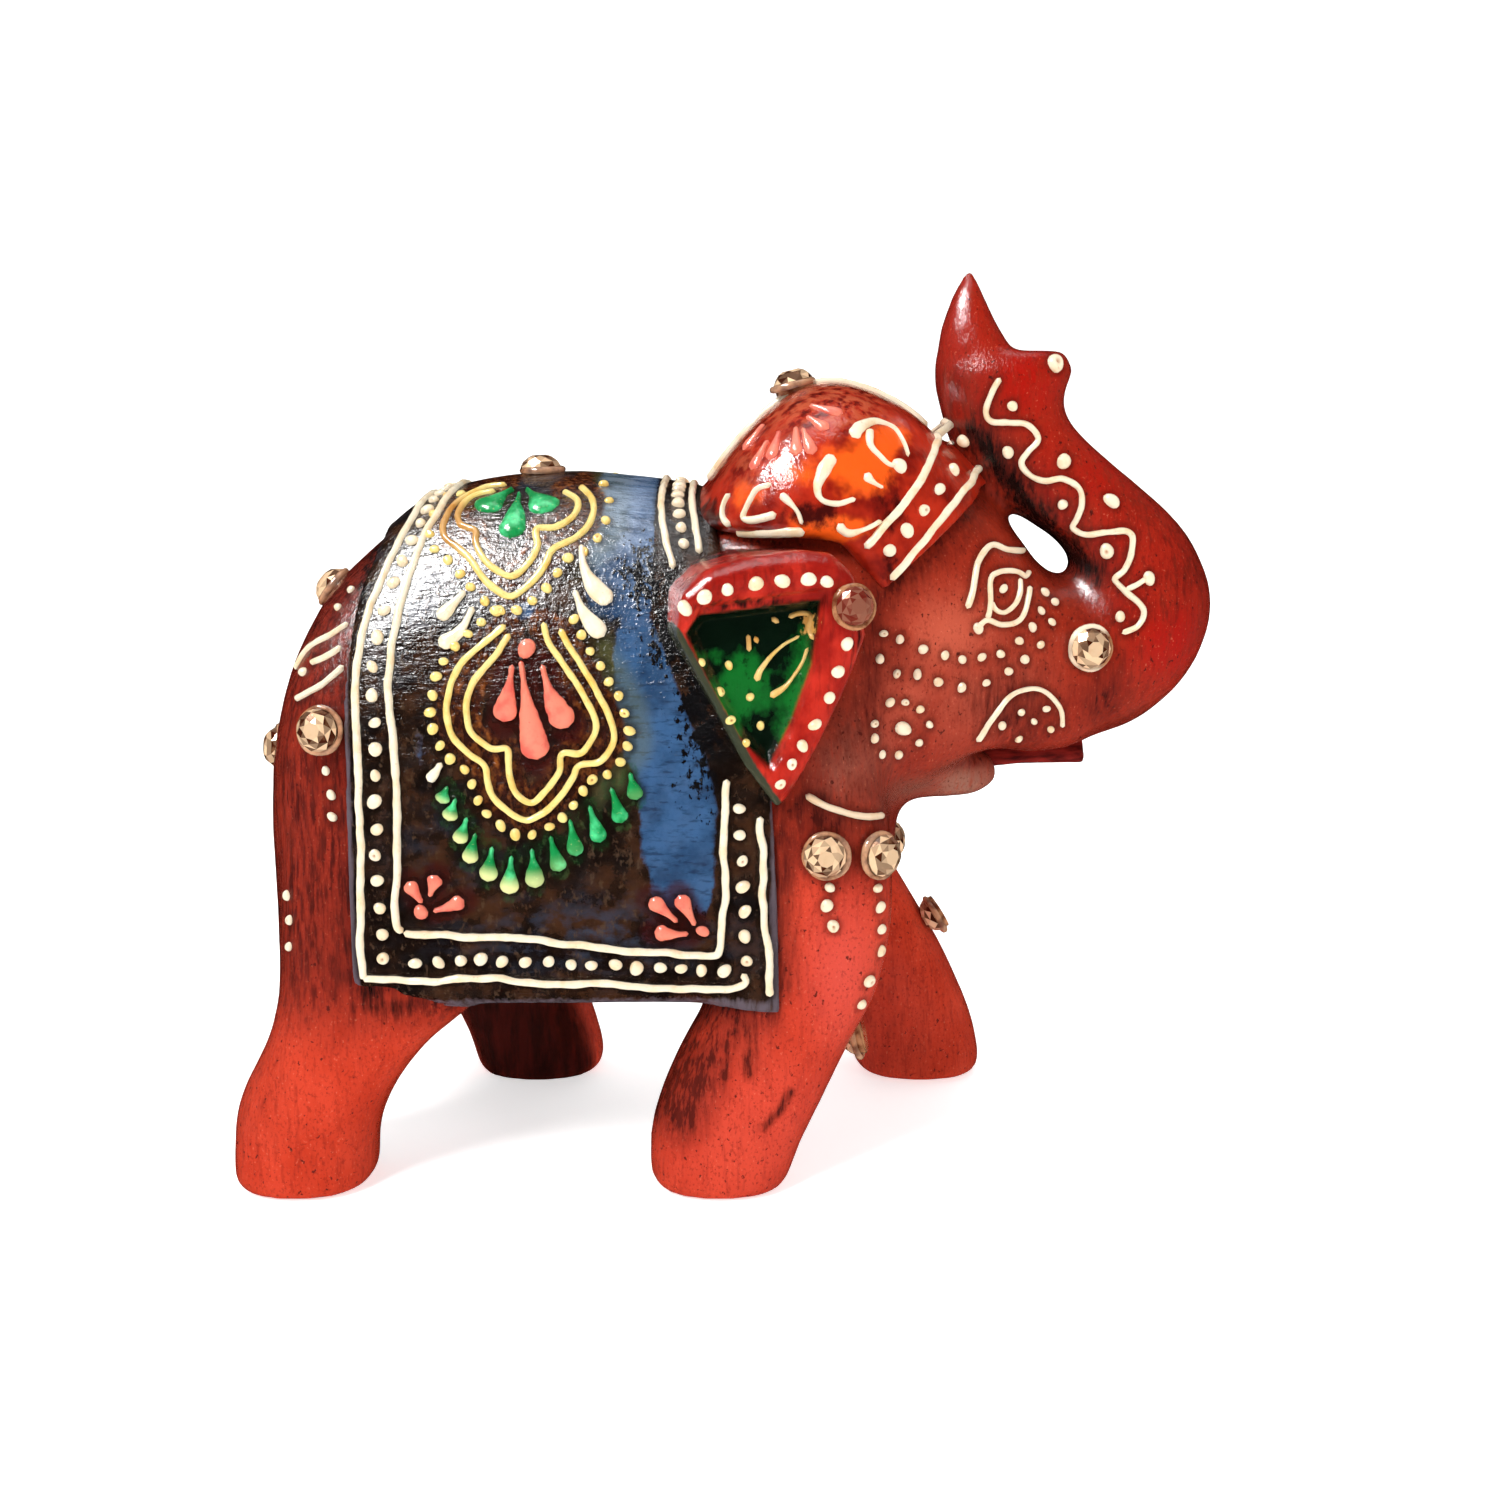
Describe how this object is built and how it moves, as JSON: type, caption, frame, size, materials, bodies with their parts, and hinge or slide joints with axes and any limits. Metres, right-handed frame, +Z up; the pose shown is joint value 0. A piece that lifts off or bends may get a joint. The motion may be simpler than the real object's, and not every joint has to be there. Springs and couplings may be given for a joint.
{
  "type": "elephant figurine",
  "caption": "Carved wooden elephant figurine with raised trunk, walking legs, saddle cloth and cap, decorated with raised paste lines, beads and glued faceted stones.",
  "frame": {"origin": "on the ground under the middle of the figure's outline", "axes": "+X towards the raised trunk, +Y to the figure's left, +Z up"},
  "size_m": [0.1139, 0.0562, 0.102],
  "materials": {
    "body_paint": "gloss lacquer over red paint, dark dry-brushed edges",
    "ear_paint": "gloss lacquer over red rims and a dark green hollow",
    "cloth_paint": "gloss lacquer over black and dark blue paint",
    "cap_paint": "gloss lacquer over orange-red paint",
    "tongue_paint": "gloss dark red paint",
    "stone": "faceted, foil backed, champagne",
    "glue_paste": "glossy paste ring",
    "cream_paste": "satin relief paste",
    "yellow_paste": "satin relief paste",
    "green_paste": "gloss relief paste",
    "pink_paste": "satin relief paste"
  },
  "bodies": {
    "root": {"carved_body": "body_paint", "right_ear": "ear_paint", "left_ear": "ear_paint", "saddle_cloth": "cloth_paint", "head_cap": "cap_paint", "tongue": "tongue_paint", "stone_beds": "glue_paste", "cap_stone": "stone", "back_stone": "stone", "rump_top_stone": "stone", "rump_centre_stones": "stone", "rump_side_stones": "stone", "right_ear_stone": "stone", "left_ear_stone": "stone", "right_cheek_stone": "stone", "left_cheek_stone": "stone", "chest_centre_stone": "stone", "chest_inner_stones": "stone", "chest_outer_stones": "stone", "foreleg_stones": "stone", "saddle_border_lines": "cream_paste", "saddle_border_beads": "cream_paste", "upper_medallion_outlines": "yellow_paste", "upper_medallion_petals": "green_paste", "lower_medallion_outlines": "yellow_paste", "lower_medallion_petals": "pink_paste", "medallion_beads": "yellow_paste", "fringe_drops": "green_paste", "corner_sprigs": "pink_paste", "comma_strokes": "cream_paste", "cap_ridge_line": "cream_paste", "cap_scrolls": "cream_paste", "cap_petals": "pink_paste", "brow_band_lines": "cream_paste", "brow_band_beads": "cream_paste", "ear_rim_beads": "cream_paste", "ear_leaves": "yellow_paste", "trunk_waves": "cream_paste", "trunk_beads": "cream_paste", "eye_outlines": "cream_paste", "face_beads": "cream_paste", "cheek_rosettes": "cream_paste", "mouth_arches": "cream_paste", "necklace_line": "cream_paste", "chest_beads": "cream_paste", "rump_strokes": "cream_paste"}
  },
  "joints": []
}
